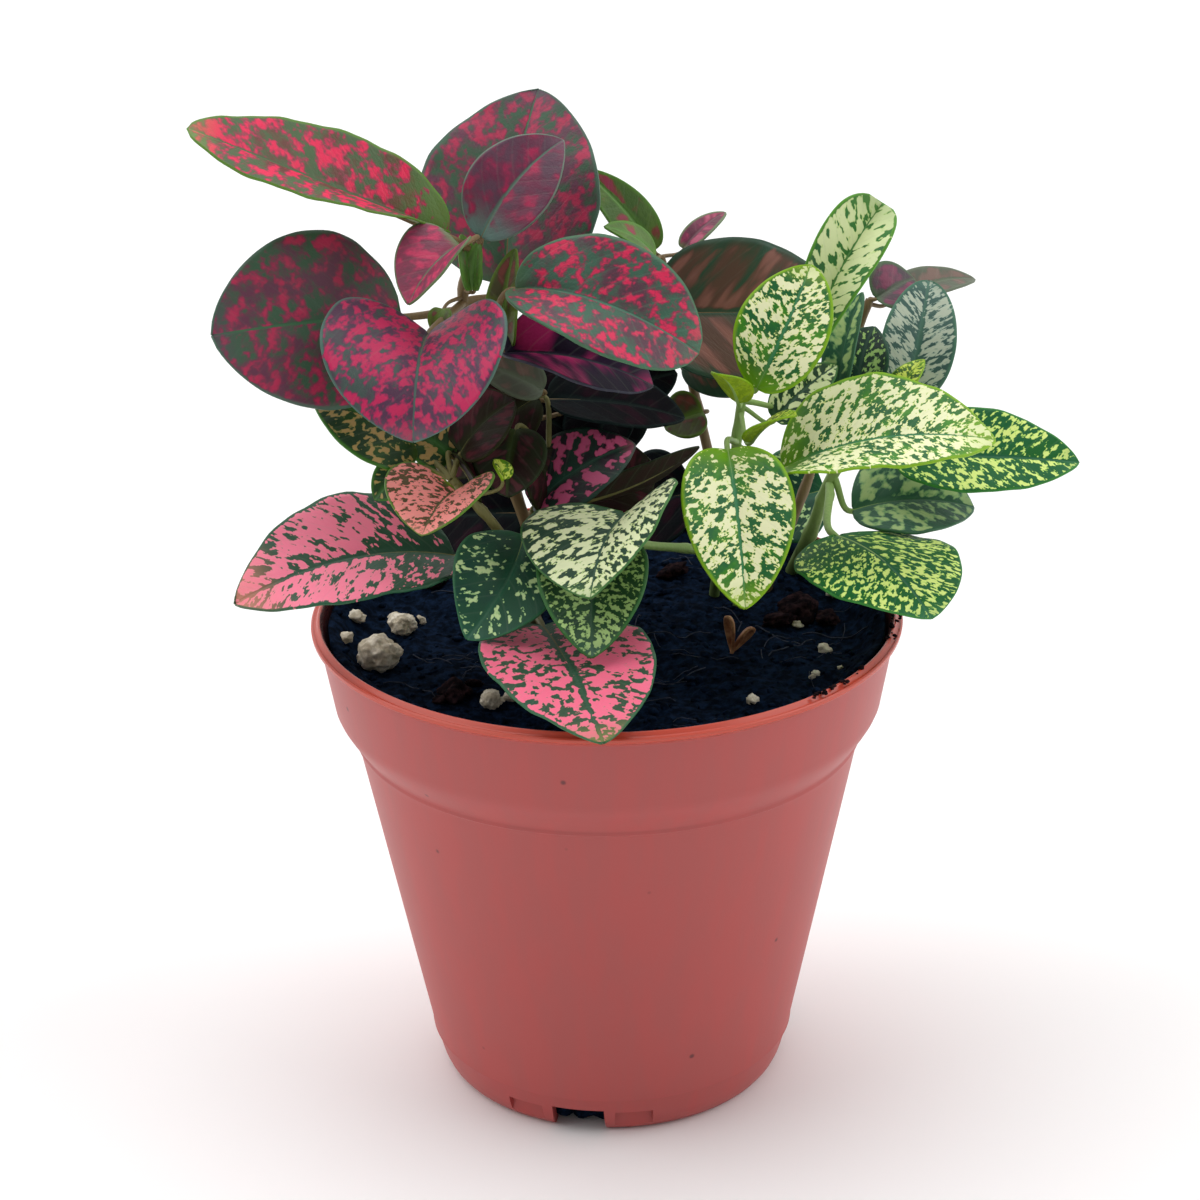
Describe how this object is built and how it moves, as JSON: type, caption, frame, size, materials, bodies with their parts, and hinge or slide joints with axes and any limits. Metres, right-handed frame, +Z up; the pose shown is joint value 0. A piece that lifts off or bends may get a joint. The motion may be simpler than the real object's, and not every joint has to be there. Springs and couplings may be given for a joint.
{
  "type": "potted plant",
  "caption": "Round tapered nursery pot with a collar and drain slots, filled with dark potting mix and planted with red, pink and cream spotted leafy shoots.",
  "frame": {"origin": "centre of the pot's underside, on the surface it stands on", "axes": "+Z up along the pot's axis, -Y toward the front"},
  "size_m": [0.1441, 0.1046, 0.1717],
  "materials": {
    "pot_plastic": "satin terracotta-red moulded plastic, glossier on the lip",
    "potting_mix": null,
    "perlite": "rough off-white",
    "bark": "rough dark brown",
    "dry_husk": "dry tan, slightly glossy inside",
    "stem": "smooth fresh green",
    "red_leaf": "soft satin leaf, crimson blotches on grey green",
    "pink_leaf": "soft satin leaf, pink with dark green blotches",
    "white_leaf": "soft satin leaf, cream blotches on green"
  },
  "bodies": {
    "root": {"bark_chip": "bark", "nursery_pot": "pot_plastic", "perlite_front": "perlite", "perlite_large": "perlite", "perlite_left": "perlite", "pink_leaf_brown": "pink_leaf", "pink_leaf_front": "pink_leaf", "pink_leaf_left": "pink_leaf", "pink_leaf_mauve": "pink_leaf", "pink_leaf_olive": "pink_leaf", "pink_leaf_rear": "pink_leaf", "pink_leaf_salmon": "pink_leaf", "pink_leaf_shaded": "pink_leaf", "pink_leaf_under": "pink_leaf", "pink_stem_left": "stem", "pink_stem_middle": "stem", "potting_mix": "potting_mix", "red_leaf_arching": "red_leaf", "red_leaf_back_top": "red_leaf", "red_leaf_back_wide": "red_leaf", "red_leaf_bud": "red_leaf", "red_leaf_crown_left": "red_leaf", "red_leaf_crown_right": "red_leaf", "red_leaf_front_top": "red_leaf", "red_leaf_inner": "red_leaf", "red_leaf_long": "red_leaf", "red_leaf_magenta": "red_leaf", "red_leaf_mauve": "red_leaf", "red_leaf_olive": "red_leaf", "red_leaf_pointed": "red_leaf", "red_leaf_rear_left": "red_leaf", "red_leaf_rear_right": "red_leaf", "red_leaf_right_front": "red_leaf", "red_leaf_round_left": "red_leaf", "red_leaf_saddle": "red_leaf", "red_leaf_shaded": "red_leaf", "red_stem_back": "stem", "red_stem_left": "stem", "red_stem_middle": "stem", "red_stem_right": "stem", "seed_husk": "dry_husk", "white_leaf_bud_left": "white_leaf", "white_leaf_bud_right": "white_leaf", "white_leaf_dark": "white_leaf", "white_leaf_far_right": "white_leaf", "white_leaf_grey": "white_leaf", "white_leaf_hanging": "white_leaf", "white_leaf_low_right": "white_leaf", "white_leaf_low_saddle": "white_leaf", "white_leaf_lower": "white_leaf", "white_leaf_rear": "white_leaf", "white_leaf_saddle": "white_leaf", "white_leaf_shoot": "white_leaf", "white_leaf_spotted": "white_leaf", "white_leaf_tall": "white_leaf", "white_leaf_upper": "white_leaf", "white_leaf_wide": "white_leaf", "white_stem_left": "stem", "white_stem_middle": "stem", "white_stem_right": "stem"}
  },
  "joints": []
}
